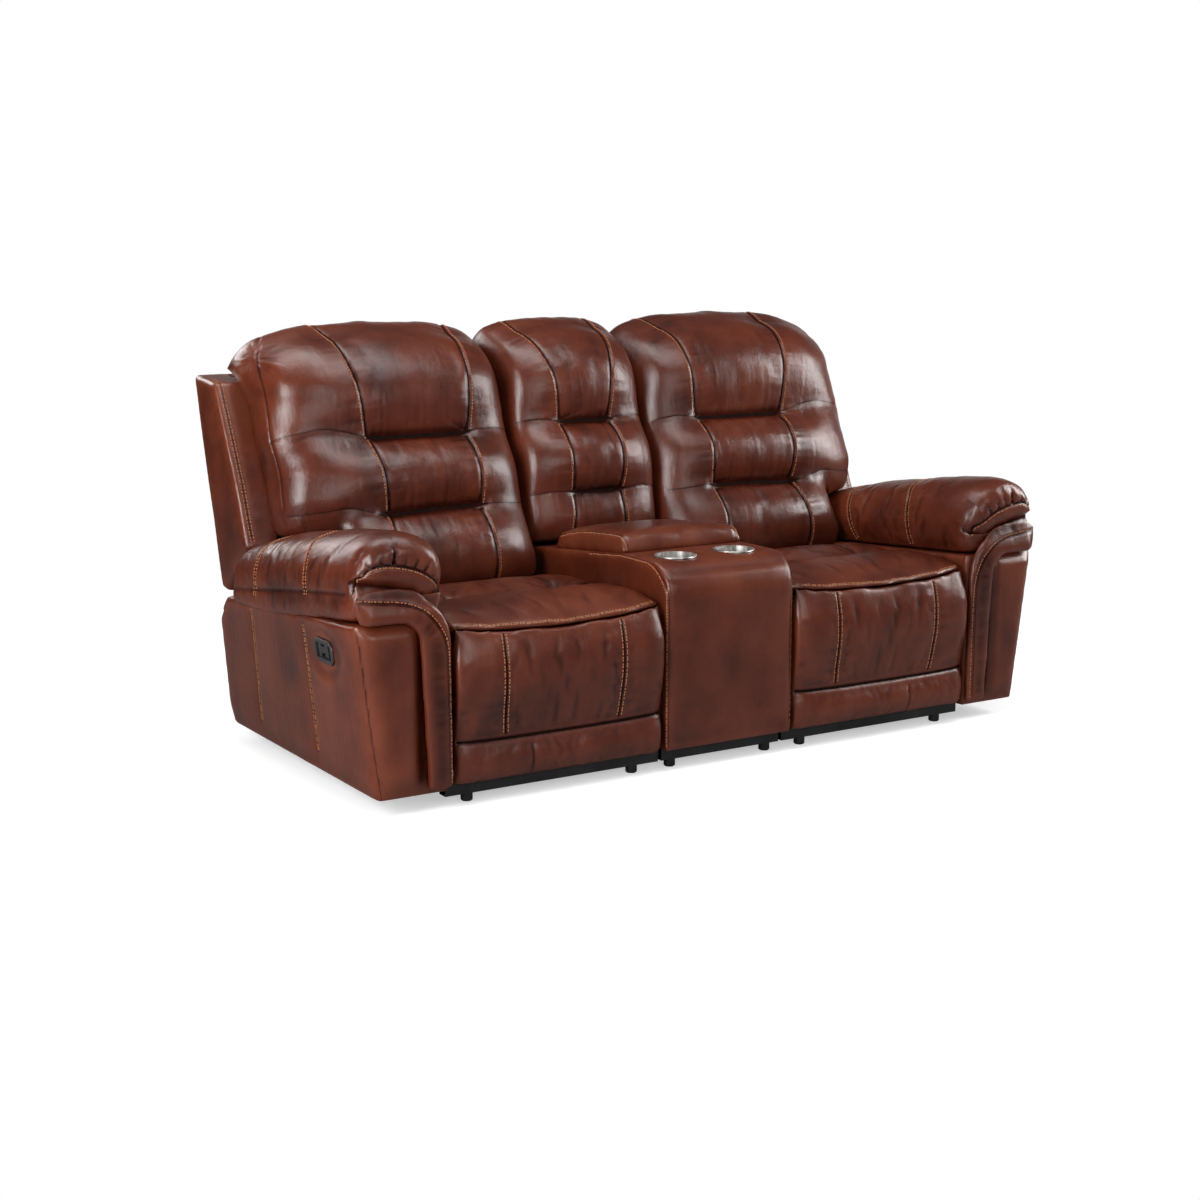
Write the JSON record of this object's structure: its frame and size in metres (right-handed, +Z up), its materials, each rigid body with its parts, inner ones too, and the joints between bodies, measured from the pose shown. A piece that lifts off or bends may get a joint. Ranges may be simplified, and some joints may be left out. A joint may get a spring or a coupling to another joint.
{
  "type": "recliner sofa",
  "caption": "Reclining loveseat with a storage console, folding footrests, channelled back cushions and padded pillow arms.",
  "frame": {"origin": "on the floor under the middle of the sofa's box", "axes": "+X to the right seen from the front, +Y to the back, +Z up"},
  "size_m": [1.9914, 1.0521, 1.054],
  "materials": {
    "leather": "glossy two-tone reddish brown",
    "timber": "sawn plywood and pine",
    "mechanism_steel": "dark zinc",
    "black_steel": "black powder coat",
    "nylon": "natural nylon",
    "webbing": "woven elastic",
    "black_plastic": "fine grain",
    "stainless": "satin"
  },
  "bodies": {
    "root": {"feet": "black_plastic", "console_frame": "timber", "console_cover": "leather", "console_rails": "black_steel", "cup_holders": "stainless", "console_hinge_leaf": "mechanism_steel", "center_back_frame": "timber", "center_back_shell": "leather", "center_back_cushion": "leather", "left_arm_frame": "timber", "left_arm_cover": "leather", "left_arm_facing": "leather", "left_arm_pillow": "leather", "left_release_bezel": "black_plastic", "left_base_frame": "black_steel", "right_arm_frame": "timber", "right_arm_cover": "leather", "right_arm_facing": "leather", "right_arm_pillow": "leather", "right_release_bezel": "black_plastic", "right_base_frame": "black_steel"},
    "lid": {"lid_board": "timber", "lid_pad": "leather", "lid_hinge_leaf": "mechanism_steel"},
    "left_pull": {"left_release_pull": "black_plastic"},
    "left_seat": {"left_mechanism_plates": "mechanism_steel", "left_glide_blocks": "nylon", "left_seat_frame": "timber", "left_seat_webbing": "webbing", "left_seat_cushion": "leather"},
    "left_front_link": {"left_front_links": "mechanism_steel"},
    "left_rear_link": {"left_rear_links": "mechanism_steel"},
    "left_upper_link": {"left_upper_links": "mechanism_steel"},
    "left_lower_link": {"left_lower_links": "mechanism_steel"},
    "left_footrest": {"left_footrest_brackets": "mechanism_steel", "left_footrest_board": "timber", "left_footrest_pad": "leather"},
    "left_back": {"left_back_frame": "timber", "left_back_brackets": "mechanism_steel", "left_back_shell": "leather", "left_back_cushion": "leather"},
    "right_pull": {"right_release_pull": "black_plastic"},
    "right_seat": {"right_mechanism_plates": "mechanism_steel", "right_glide_blocks": "nylon", "right_seat_frame": "timber", "right_seat_webbing": "webbing", "right_seat_cushion": "leather"},
    "right_front_link": {"right_front_links": "mechanism_steel"},
    "right_rear_link": {"right_rear_links": "mechanism_steel"},
    "right_upper_link": {"right_upper_links": "mechanism_steel"},
    "right_lower_link": {"right_lower_links": "mechanism_steel"},
    "right_footrest": {"right_footrest_brackets": "mechanism_steel", "right_footrest_board": "timber", "right_footrest_pad": "leather"},
    "right_back": {"right_back_frame": "timber", "right_back_brackets": "mechanism_steel", "right_back_shell": "leather", "right_back_cushion": "leather"}
  },
  "joints": [
    {"name": "left_seat_glide", "type": "slide", "parent": "root", "child": "left_seat", "axis": [0, -1, 0], "range_m": [0, 0.05]},
    {"name": "left_recline", "type": "hinge", "parent": "left_seat", "child": "left_back", "pos_m": [-0.4725, 0.3, 0.215], "axis": [-1, 0, 0], "range_deg": [0, 25.5]},
    {"name": "left_footrest_fold", "type": "hinge", "parent": "left_seat", "child": "left_front_link", "pos_m": [-0.4725, -0.4, 0.33], "axis": [-1, 0, 0], "range_deg": [0, 95]},
    {"name": "left_rear_link_turn", "type": "hinge", "parent": "left_seat", "child": "left_rear_link", "pos_m": [-0.4725, -0.3468, 0.28451], "axis": [-1, 0, 0], "range_deg": [0, 95]},
    {"name": "left_upper_link_turn", "type": "hinge", "parent": "left_front_link", "child": "left_upper_link", "pos_m": [-0.4725, -0.305, 0.16545], "axis": [-1, 0, 0], "range_deg": [-95, 0]},
    {"name": "left_lower_link_turn", "type": "hinge", "parent": "left_front_link", "child": "left_lower_link", "pos_m": [-0.4725, -0.27, 0.10483], "axis": [-1, 0, 0], "range_deg": [-95, 0]},
    {"name": "left_footrest_turn", "type": "hinge", "parent": "left_upper_link", "child": "left_footrest", "pos_m": [-0.4725, -0.45, 0.28946], "axis": [-1, 0, 0], "range_deg": [0, 95]},
    {"name": "left_release", "type": "hinge", "parent": "root", "child": "left_pull", "pos_m": [-0.96918, -0.27625, 0.3527], "axis": [0.1392, 0, -0.9903], "range_deg": [0, 35], "stiffness_Nm_per_rad": 0.6},
    {"name": "right_seat_glide", "type": "slide", "parent": "root", "child": "right_seat", "axis": [0, -1, 0], "range_m": [0, 0.05]},
    {"name": "right_recline", "type": "hinge", "parent": "right_seat", "child": "right_back", "pos_m": [0.4725, 0.3, 0.215], "axis": [-1, 0, 0], "range_deg": [0, 25.5]},
    {"name": "right_footrest_fold", "type": "hinge", "parent": "right_seat", "child": "right_front_link", "pos_m": [0.4725, -0.4, 0.33], "axis": [-1, 0, 0], "range_deg": [0, 95]},
    {"name": "right_rear_link_turn", "type": "hinge", "parent": "right_seat", "child": "right_rear_link", "pos_m": [0.4725, -0.3468, 0.28451], "axis": [-1, 0, 0], "range_deg": [0, 95]},
    {"name": "right_upper_link_turn", "type": "hinge", "parent": "right_front_link", "child": "right_upper_link", "pos_m": [0.4725, -0.305, 0.16545], "axis": [-1, 0, 0], "range_deg": [-95, 0]},
    {"name": "right_lower_link_turn", "type": "hinge", "parent": "right_front_link", "child": "right_lower_link", "pos_m": [0.4725, -0.27, 0.10483], "axis": [-1, 0, 0], "range_deg": [-95, 0]},
    {"name": "right_footrest_turn", "type": "hinge", "parent": "right_upper_link", "child": "right_footrest", "pos_m": [0.4725, -0.45, 0.28946], "axis": [-1, 0, 0], "range_deg": [0, 95]},
    {"name": "right_release", "type": "hinge", "parent": "root", "child": "right_pull", "pos_m": [0.96918, -0.27625, 0.3527], "axis": [0.1392, 0, 0.9903], "range_deg": [0, 35], "stiffness_Nm_per_rad": 0.6},
    {"name": "lid_lift", "type": "hinge", "parent": "root", "child": "lid", "pos_m": [0, 0.02658, 0.47729], "axis": [-1, 0, 0], "range_deg": [0, 70]}
  ],
  "couplings": [
    {"joint": "left_seat_glide", "follows": "left_recline", "m_per_rad": 0.1123},
    {"joint": "left_rear_link_turn", "follows": "left_footrest_fold", "ratio": 1},
    {"joint": "left_upper_link_turn", "follows": "left_footrest_fold", "ratio": -1},
    {"joint": "left_lower_link_turn", "follows": "left_footrest_fold", "ratio": -1},
    {"joint": "left_footrest_turn", "follows": "left_footrest_fold", "ratio": 1},
    {"joint": "right_seat_glide", "follows": "right_recline", "m_per_rad": 0.1123},
    {"joint": "right_rear_link_turn", "follows": "right_footrest_fold", "ratio": 1},
    {"joint": "right_upper_link_turn", "follows": "right_footrest_fold", "ratio": -1},
    {"joint": "right_lower_link_turn", "follows": "right_footrest_fold", "ratio": -1},
    {"joint": "right_footrest_turn", "follows": "right_footrest_fold", "ratio": 1}
  ]
}
